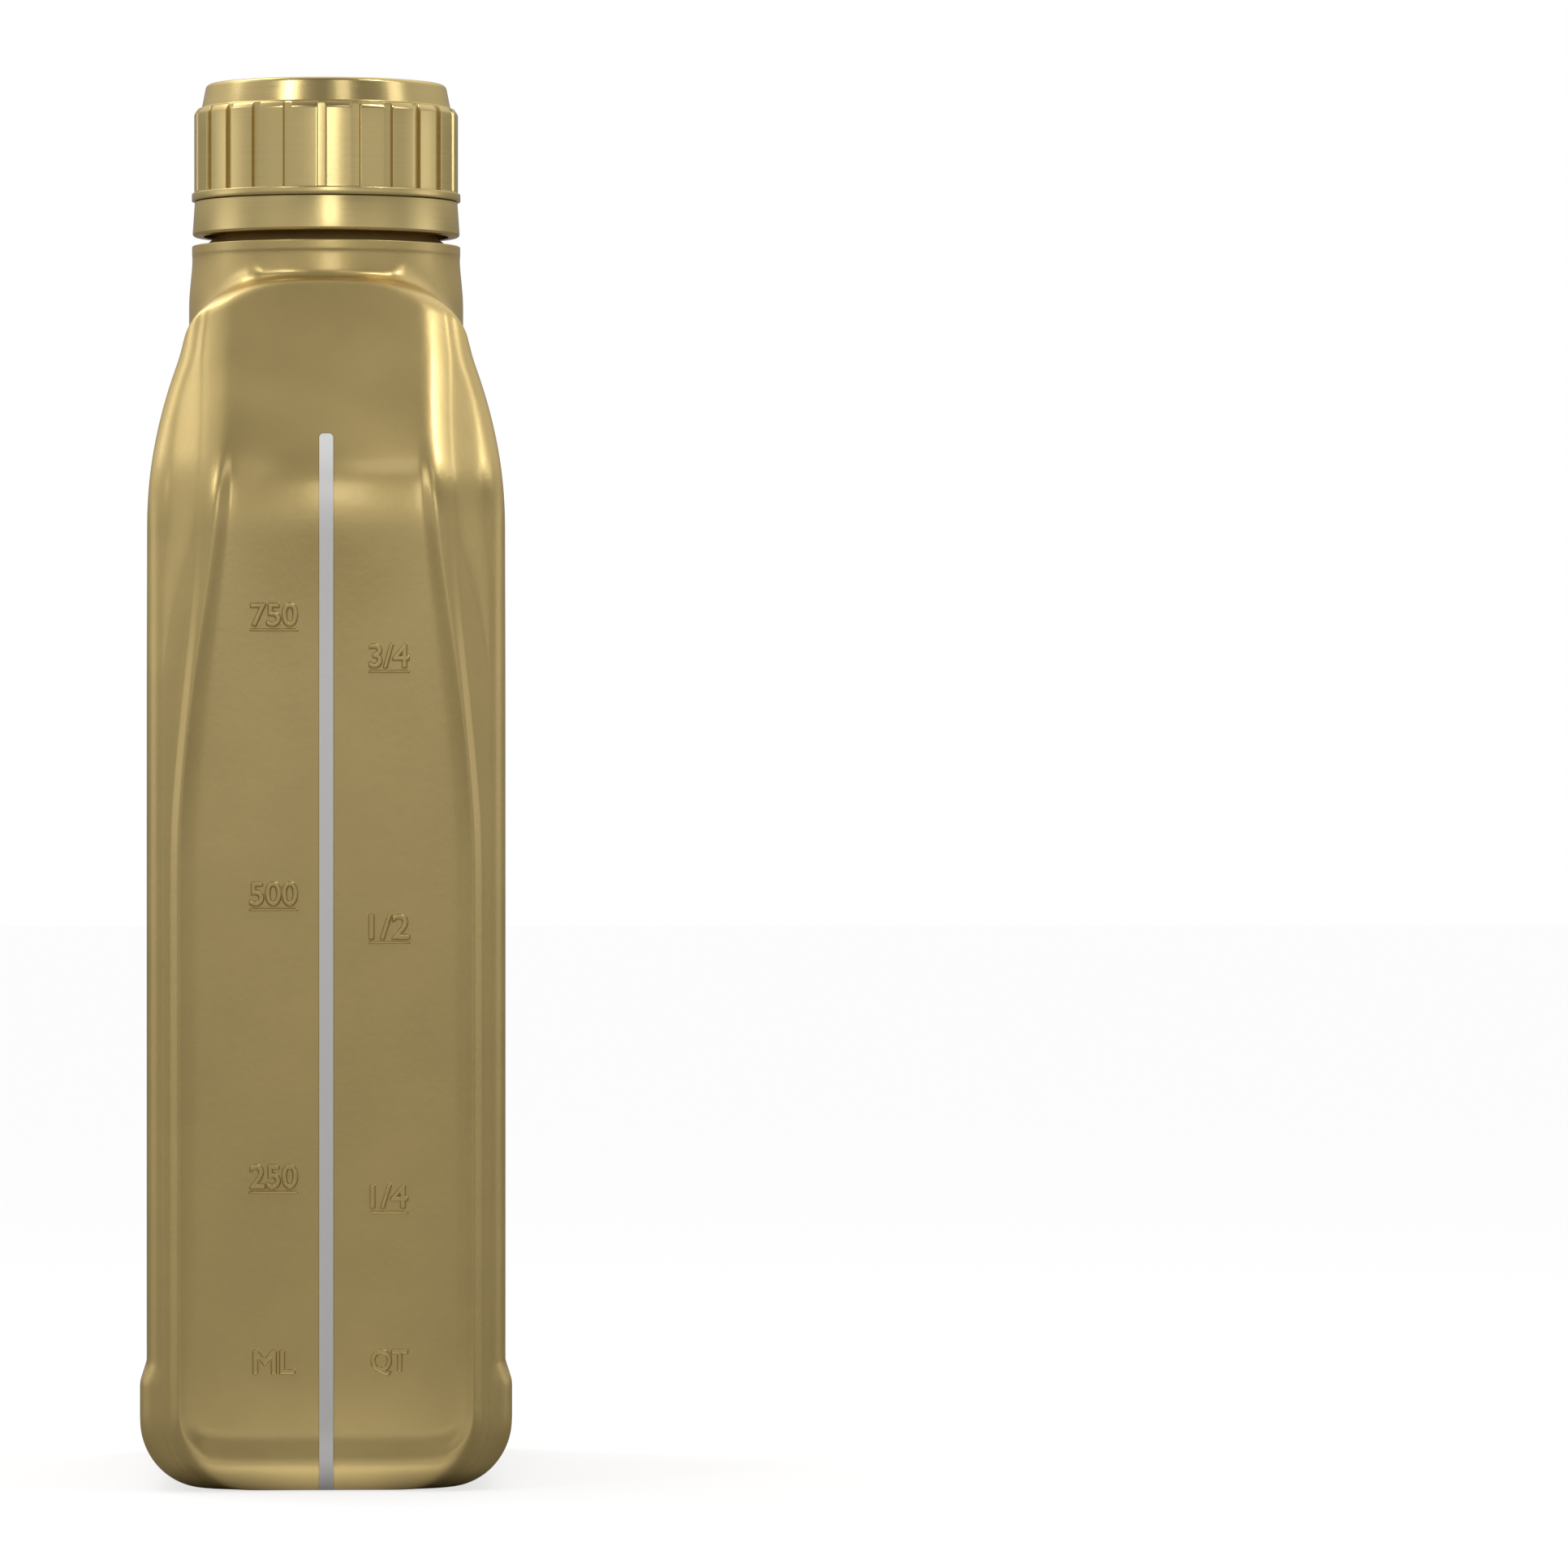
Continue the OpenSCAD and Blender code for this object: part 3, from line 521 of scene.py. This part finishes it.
def text_outline(text, x_left, x_right, z_low, z_high):
    """Triangles and border segments of a text that fills the given rectangle, in the plane of the side."""
    curve = bpy.data.curves.new("text", "FONT")
    curve.body = text
    curve.resolution_u = 6
    obj = link("text", curve)
    bpy.context.view_layer.update()
    mesh = bpy.data.meshes.new_from_object(obj.evaluated_get(bpy.context.evaluated_depsgraph_get()))
    co = np.array([v.co[:2] for v in mesh.vertices])
    uses = {}
    tris = []
    for p in mesh.polygons:
        v = list(p.vertices)
        tris += [(v[0], v[i], v[i + 1]) for i in range(1, len(v) - 1)]
        for e in zip(v, v[1:] + v[:1]):
            key = (min(e), max(e))
            uses[key] = uses.get(key, 0) + 1
    border = [e for e, n in uses.items() if n == 1]
    bpy.data.objects.remove(obj)
    bpy.data.meshes.remove(mesh)
    bpy.data.curves.remove(curve)
    lo, hi = co.min(0), co.max(0)
    co = (co - lo) / (hi - lo) * (x_right - x_left, z_high - z_low) + (x_left, z_low)
    return co[np.array(tris)], co[np.array(border)]


def inside_by(points, tris, segments):
    """Distance inside the outline for each point, less than zero outside."""
    a, d = segments[:, 0], segments[:, 1] - segments[:, 0]
    rel = points[:, None] - a
    t = np.clip((rel * d).sum(-1) / np.maximum((d * d).sum(-1), 1e-12), 0, 1)
    dist = np.linalg.norm(rel - t[..., None] * d, axis=-1).min(1)
    within = np.zeros(len(points), bool)
    for tri in tris:
        turn = [np.cross(tri[(k + 1) % 3] - tri[k], points - tri[k]) for k in range(3)]
        within |= np.all([v >= 0 for v in turn], 0) | np.all([v <= 0 for v in turn], 0)
    return np.where(within, dist, -dist)


def figure_patch(text, x0, x1, y0, y1, line):
    """A soft raised figure with its line below, as a patch that lies under the panel around them."""
    xa, xb, za, zb = from_middle(x0), from_middle(x1), from_floor(y1), from_floor(y0)
    tris, segments = text_outline(text, xa + MARK_BOLD, xb - MARK_BOLD, za + MARK_BOLD, zb - MARK_BOLD)
    floor_z = from_floor(line + LINE_BELOW) if line else za
    xs = np.arange(xa - MARK_RIM, xb + MARK_RIM, MARK_GRID)
    zs = np.arange(floor_z - MARK_RIM, zb + MARK_RIM, MARK_GRID)
    gx, gz = np.meshgrid(xs, zs)
    points = np.column_stack([gx.ravel(), gz.ravel()])
    inside = inside_by(points, tris, segments) + MARK_BOLD
    if line:
        across = np.minimum(points[:, 0] - xa, xb - points[:, 0])
        up = np.minimum(points[:, 1] - floor_z, from_floor(line - LINE_ABOVE) - points[:, 1])
        inside = np.maximum(inside, np.minimum(across, up))
    out = (MARK_OUT + MARK_SUNK) * smooth(inside / MARK_EDGE + 0.6) - MARK_SUNK
    swell = np.array([[pillow(z, min(1, abs(x) / (rail_x(z) - RAMP_W))) for x in xs] for z in zs]).ravel()
    co = np.column_stack([points[:, 0], PANEL_D - HALF_W - out - swell, points[:, 1]])
    rows, cols = gx.shape
    idx = np.arange(rows * cols).reshape(rows, cols)
    faces = np.stack([idx[:-1, :-1], idx[:-1, 1:], idx[1:, 1:], idx[1:, :-1]], -1).reshape(-1, 4)
    return mesh_object("figure_" + text.replace("/", "_"), co, faces.tolist())


figures = [figure_patch(*mark) for mark in MARKS]


# Materials
def new_material(name):
    mat = bpy.data.materials.new(name)
    mat.use_nodes = True
    tree = mat.node_tree
    tree.nodes.clear()
    return mat, tree, tree.nodes.new("ShaderNodeOutputMaterial")


def principled(name):
    mat, tree, out = new_material(name)
    bsdf = tree.nodes.new("ShaderNodeBsdfPrincipled")
    tree.links.new(bsdf.outputs[0], out.inputs[0])
    return mat, tree, bsdf


def object_position(tree):
    return tree.nodes.new("ShaderNodeTexCoord").outputs["Object"]


def split(tree, vector):
    node = tree.nodes.new("ShaderNodeSeparateXYZ")
    tree.links.new(vector, node.inputs[0])
    return node.outputs


def noise(tree, vector, scale, detail=2.0, rough=0.5):
    node = tree.nodes.new("ShaderNodeTexNoise")
    node.inputs["Scale"].default_value = scale
    node.inputs["Detail"].default_value = detail
    node.inputs["Roughness"].default_value = rough
    tree.links.new(vector, node.inputs["Vector"])
    return node.outputs["Fac"]


def math_node(tree, op, *values):
    node = tree.nodes.new("ShaderNodeMath")
    node.operation = op
    for socket, v in zip(node.inputs, values):
        if isinstance(v, (int, float)):
            socket.default_value = v
        else:
            tree.links.new(v, socket)
    return node.outputs[0]


def vector_node(tree, op, vector, fixed):
    node = tree.nodes.new("ShaderNodeVectorMath")
    node.operation = op
    tree.links.new(vector, node.inputs[0])
    node.inputs[1].default_value = fixed
    return node.outputs["Value"]


def ramp(tree, value, low, high, out_low, out_high):
    node = tree.nodes.new("ShaderNodeMapRange")
    node.clamp = True
    for key, v in (("From Min", low), ("From Max", high), ("To Min", out_low), ("To Max", out_high)):
        node.inputs[key].default_value = v
    tree.links.new(value, node.inputs["Value"])
    return node.outputs[0]


def mix_colour(tree, fac, a, b):
    node = tree.nodes.new("ShaderNodeMix")
    node.data_type = "RGBA"
    tree.links.new(fac, node.inputs["Factor"])
    for key, v in ((6, a), (7, b)):
        if isinstance(v, tuple):
            node.inputs[key].default_value = (*v, 1)
        else:
            tree.links.new(v, node.inputs[key])
    return node.outputs[2]


def bump(tree, height, strength, distance):
    node = tree.nodes.new("ShaderNodeBump")
    node.inputs["Strength"].default_value = strength
    node.inputs["Distance"].default_value = distance
    tree.links.new(height, node.inputs["Height"])
    return node.outputs[0]


GOLD_DARK, GOLD_LIGHT, FLAKE = (0.50, 0.375, 0.15), (0.56, 0.42, 0.17), (0.85, 0.72, 0.42)
CAP_DARK, CAP_LIGHT = (0.54, 0.42, 0.175), (0.57, 0.445, 0.19)
WAD_DARK, WAD_LIGHT = (0.80, 0.80, 0.77), (0.88, 0.88, 0.85)
EDGE_TINT = (0.80, 0.68, 0.42, 1)
# Share of metal: a pigment with flake in a clear resin
BODY_METAL, CAP_METAL = 0.72, 0.8
# Noise scales, a metre: cloudy tone, flake, skin of the mould, streaks round and up the cap, wad cells
TONE_SCALE, FLAKE_SCALE, PEEL_SCALE, STREAK_ROUND, STREAK_UP, CELL_SCALE = 60, 5200, 900, 1.2, 5500, 1500
# Sight strip in mm: half width, top, end radius and half its soft edge. It lies before this y, in metres.
STRIP_X, STRIP_TOP, STRIP_R, STRIP_SOFT, STRIP_FRONT_Y = 1.13, 172.0, 0.7, 0.02, -0.012
# Its greys at the floor and at a height in metres. Its rim of painted shade round the edge: colour, place and
# soft edges in mm, share.
# The strip's grey grows lighter upwards: a painted gradient of light.
STRIP_LOW, STRIP_HIGH, STRIP_SPAN = (0.77, 0.77, 0.765), (0.79, 0.79, 0.785), 0.17
STRIP_EDGE_SHADE, EDGE_SHADE_OFF, EDGE_SHADE_IN, EDGE_SHADE_OUT, EDGE_SHADE_SHARE = (0.10, 0.08, 0.04), 0.05, 0.03, 0.13, 0.45


def add_strip(tree, bsdf, pos, tone):
    """Lays the sight strip over the tone of the near side, with a thin rim of painted shade round its edge,
    and takes the metal away there.
    """
    x, y, z = split(tree, pos)
    over_x = math_node(tree, "SUBTRACT", math_node(tree, "ABSOLUTE", x), (STRIP_X - STRIP_R) * MM)
    over_z = math_node(tree, "SUBTRACT", z, (STRIP_TOP - STRIP_R) * MM)
    squares = []
    for over in (over_x, over_z):
        over = math_node(tree, "MAXIMUM", over, 0.0)
        squares.append(math_node(tree, "MULTIPLY", over, over))
    far = math_node(tree, "SQRT", math_node(tree, "ADD", *squares))
    front = math_node(tree, "LESS_THAN", y, STRIP_FRONT_Y)
    mask = ramp(tree, far, (STRIP_R - STRIP_SOFT) * MM, (STRIP_R + STRIP_SOFT) * MM, 1, 0)
    mask = math_node(tree, "MULTIPLY", mask, front)
    # A thin dark line of painted shade just outside the strip's edge
    beside = math_node(tree, "ABSOLUTE", math_node(tree, "SUBTRACT", far, (STRIP_R + EDGE_SHADE_OFF) * MM))
    edge_shade = math_node(tree, "MULTIPLY", front, ramp(tree, beside, EDGE_SHADE_IN * MM, EDGE_SHADE_OUT * MM, EDGE_SHADE_SHARE, 0.0))
    # Painted light: the strip's grey lightens with height.
    grey = mix_colour(tree, ramp(tree, z, 0.0, STRIP_SPAN, 0, 1), STRIP_LOW, STRIP_HIGH)
    metal = math_node(tree, "MULTIPLY_ADD", mask, -BODY_METAL, BODY_METAL)
    tree.links.new(metal, bsdf.inputs["Metallic"])
    return mix_colour(tree, mask, mix_colour(tree, edge_shade, tone, STRIP_EDGE_SHADE), grey)


def body_material(name, with_strip):
    mat, tree, bsdf = principled(name)
    pos = object_position(tree)
    broad = noise(tree, pos, TONE_SCALE, 3)
    flake = noise(tree, pos, FLAKE_SCALE, 2, 0.7)
    tone = mix_colour(tree, ramp(tree, broad, 0.3, 0.7, 0, 1), GOLD_DARK, GOLD_LIGHT)
    tone = mix_colour(tree, ramp(tree, flake, 0.66, 0.74, 0, 0.35), tone, FLAKE)
    bsdf.inputs["Metallic"].default_value = BODY_METAL
    bsdf.inputs["Specular Tint"].default_value = EDGE_TINT
    if with_strip:
        tone = add_strip(tree, bsdf, pos, tone)
    tree.links.new(tone, bsdf.inputs["Base Color"])
    tree.links.new(ramp(tree, broad, 0.3, 0.7, 0.33, 0.37), bsdf.inputs["Roughness"])
    bsdf.inputs["Coat Weight"].default_value = 0.25
    bsdf.inputs["Coat Roughness"].default_value = 0.12
    peel = noise(tree, pos, PEEL_SCALE, 3)
    tree.links.new(bump(tree, peel, 0.12, 0.0002), bsdf.inputs["Normal"])
    return mat


def cap_material():
    mat, tree, bsdf = principled("cap_gold")
    x, y, z = split(tree, object_position(tree))
    comb = tree.nodes.new("ShaderNodeCombineXYZ")
    angle = math_node(tree, "ARCTAN2", y, x)
    tree.links.new(math_node(tree, "MULTIPLY", angle, STREAK_ROUND), comb.inputs[0])
    tree.links.new(math_node(tree, "MULTIPLY", z, STREAK_UP), comb.inputs[2])
    streak = noise(tree, comb.outputs[0], 1.0, 2)
    tone = mix_colour(tree, ramp(tree, streak, 0.3, 0.7, 0, 1), CAP_DARK, CAP_LIGHT)
    tree.links.new(tone, bsdf.inputs["Base Color"])
    bsdf.inputs["Metallic"].default_value = CAP_METAL
    bsdf.inputs["Specular Tint"].default_value = EDGE_TINT
    tree.links.new(ramp(tree, streak, 0.3, 0.7, 0.19, 0.25), bsdf.inputs["Roughness"])
    bsdf.inputs["Anisotropic"].default_value = 0.4
    bsdf.inputs["Coat Weight"].default_value = 0.3
    bsdf.inputs["Coat Roughness"].default_value = 0.1
    tree.links.new(bump(tree, streak, 0.05, 0.0001), bsdf.inputs["Normal"])
    return mat


def wad_material():
    mat, tree, bsdf = principled("wad_white")
    cell = noise(tree, object_position(tree), CELL_SCALE, 2)
    tree.links.new(mix_colour(tree, cell, WAD_DARK, WAD_LIGHT), bsdf.inputs["Base Color"])
    bsdf.inputs["Roughness"].default_value = 0.6
    tree.links.new(bump(tree, cell, 0.2, 0.0002), bsdf.inputs["Normal"])
    return mat


gold, neck_gold = body_material("bottle_gold", True), body_material("neck_gold", False)
cap_gold, wad_white = cap_material(), wad_material()


def dress(obj, mat, body_name, slot, *nodes):
    obj.data.materials.clear()
    obj.data.materials.append(mat)
    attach(obj, body_name)
    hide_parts(*nodes)


dress(shell, gold, "bottle", "bottle_gold", "bottle")
for part in (neck, neck_thread, *figures):
    dress(part, neck_gold, "bottle", "bottle_gold", "bottle")
for part in (cap, cap_thread):
    dress(part, cap_gold, "cap", "cap_gold", "cap")
dress(band, cap_gold, "bottle", "band_gold", "tamper_band")
liner = frame["nodes"]["cap_liner"]
liner.data.materials.clear()
liner.data.materials.append(wad_white)
SHARP_ANGLE = 40
for part in (shell, neck, neck_thread, cap, cap_thread, band):
    shade_angle(part, SHARP_ANGLE)

# Camera: level, at the photograph's distance, panned so that the bottle stands left of the middle
CAM_Y, CAM_Z, FOV, PAN, SENSOR = -1.568, 0.1149, 9.6, 2.807, 36
cam_data = bpy.data.cameras.new("camera")
cam = link("camera", cam_data)
cam_data.sensor_width = SENSOR
cam_data.lens = SENSOR / 2 / math.tan(math.radians(FOV / 2))
cam.location = (0, CAM_Y, CAM_Z)
cam.rotation_euler = (math.radians(90), 0, math.radians(-PAN))
cam_data.clip_start, cam_data.clip_end = 0.05, 50
bpy.context.scene.camera = cam

# Floor: its own grey, its light to the camera, and the pool of light that reflections see
FLOOR_HALF, FLOOR_GREY, FLOOR_LIFT = 6.0, 0.36, 0.72
POOL_Y, POOL_IN, POOL_OUT, POOL_LIGHT = -0.075, 0.018, 0.031, 1.2


def floor():
    s = FLOOR_HALF
    mesh = bpy.data.meshes.new("floor")
    mesh.from_pydata([(-s, -s, 0), (s, -s, 0), (s, s, 0), (-s, s, 0)], [], [(0, 1, 2, 3)])
    mesh.update()
    obj = link("floor", mesh)
    mat, tree, out = new_material("floor_white")
    diffuse = tree.nodes.new("ShaderNodeBsdfDiffuse")
    diffuse.inputs["Color"].default_value = (FLOOR_GREY, FLOOR_GREY, FLOOR_GREY, 1)
    lift = tree.nodes.new("ShaderNodeEmission")
    path = tree.nodes.new("ShaderNodeLightPath")
    # White to the camera everywhere, and in reflections only in a pool before the object
    away = vector_node(tree, "DISTANCE", object_position(tree), (0, POOL_Y, 0))
    near = ramp(tree, away, POOL_IN, POOL_OUT, POOL_LIGHT, 0.0)
    mirrored = math_node(tree, "MULTIPLY", path.outputs["Is Glossy Ray"], near)
    seen = math_node(tree, "MULTIPLY_ADD", path.outputs["Is Camera Ray"], FLOOR_LIFT, mirrored)
    tree.links.new(seen, lift.inputs["Strength"])
    both = tree.nodes.new("ShaderNodeAddShader")
    tree.links.new(diffuse.outputs[0], both.inputs[0])
    tree.links.new(lift.outputs[0], both.inputs[1])
    tree.links.new(both.outputs[0], out.inputs[0])
    mesh.materials.append(mat)


floor()

# Soft glows of the studio: azimuth (0 front, 90 right), elevation, tightness and strength
GLOWS = [(0, -5, 13, 1.15), (45, -5, 9, 0.9), (-45, -5, 9, 0.75), (95, -5, 20, 1.5), (-95, -5, 20, 1.5),
         (-45, 30, 9, 0.25), (90, 35, 9, 0.25), (-90, 35, 9, 0.5), (135, 35, 6, 0.8), (-135, 35, 6, 0.9),
         (180, 55, 5, 1.0)]


def direction(azimuth, elevation):
    a, e = math.radians(azimuth), math.radians(elevation)
    return Vector((math.sin(a) * math.cos(e), -math.cos(a) * math.cos(e), math.sin(e)))


def world():
    """White to the camera, and the sum of the glows to the object."""
    w = bpy.data.worlds.new("studio")
    bpy.context.scene.world = w
    w.use_nodes = True
    tree = w.node_tree
    tree.nodes.clear()
    out = tree.nodes.new("ShaderNodeOutputWorld")
    bg = tree.nodes.new("ShaderNodeBackground")
    tree.links.new(bg.outputs[0], out.inputs[0])
    path = tree.nodes.new("ShaderNodeLightPath")
    seen = math_node(tree, "MAXIMUM", path.outputs["Is Camera Ray"], path.outputs["Is Transmission Ray"])
    way = tree.nodes.new("ShaderNodeTexCoord").outputs["Generated"]
    glow = 0.0
    for azimuth, elevation, tight, strength in GLOWS:
        dot = vector_node(tree, "DOT_PRODUCT", way, direction(azimuth, elevation))
        fall = math_node(tree, "EXPONENT", math_node(tree, "MULTIPLY_ADD", dot, tight, -tight))
        glow = math_node(tree, "ADD", glow, math_node(tree, "MULTIPLY", fall, strength))
    unseen = math_node(tree, "SUBTRACT", 1.0, seen)
    level = math_node(tree, "ADD", seen, math_node(tree, "MULTIPLY", unseen, glow))
    tree.links.new(level, bg.inputs["Strength"])
    bg.inputs["Color"].default_value = (1, 1, 1, 1)


world()

# Lamps: name, azimuth and elevation they span, radiance, distance, and the point they aim at
CAP_AIM = (0, 0, 0.23)
LAMPS = [("front_low", (-4, 12), (14, 34), 3.1, 0.25, (0, -0.05, 0.163)),
         ("cap_front", (9, 23), (26, 44), 2.2, 0.25, CAP_AIM),
         ("cap_left", (-42, -28), (24, 42), 1.7, 0.25, CAP_AIM),
         ("cap_far_left", (-106, -90), (22, 42), 1.8, 0.25, CAP_AIM),
         ("cap_right", (62, 78), (22, 42), 2.4, 0.25, CAP_AIM),
         ("right_up", (62, 74), (53, 66), 24.0, 0.4, (0.018, -0.045, 0.182)),
         ("back_left", (-150, -120), (42, 66), 4.0, 0.5, (-0.018, -0.03, 0.195)),
         ("left_up", (-46, -34), (32, 52), 6.5, 0.4, (-0.018, -0.048, 0.167))]


def softbox(name, azimuth, elevation, radiance, distance, aim):
    """A rectangular lamp that spans the given angles, seen from the point it aims at."""
    way = direction(sum(azimuth) / 2, sum(elevation) / 2)
    across = math.hypot(way.x, way.y)
    width = 2 * distance * math.tan(math.radians(azimuth[1] - azimuth[0]) / 2) * across
    height = 2 * distance * math.tan(math.radians(elevation[1] - elevation[0]) / 2)
    data = bpy.data.lights.new(name, "AREA")
    data.shape = "RECTANGLE"
    data.size, data.size_y = width, height
    data.energy = radiance * math.pi * width * height
    obj = link(name, data)
    obj.location = Vector(aim) + way * distance
    obj.rotation_euler = way.to_track_quat("Z", "Y").to_euler()
    obj.visible_camera = False


for lamp in LAMPS:
    softbox(*lamp)

bpy.context.scene.view_settings.view_transform = "Standard"
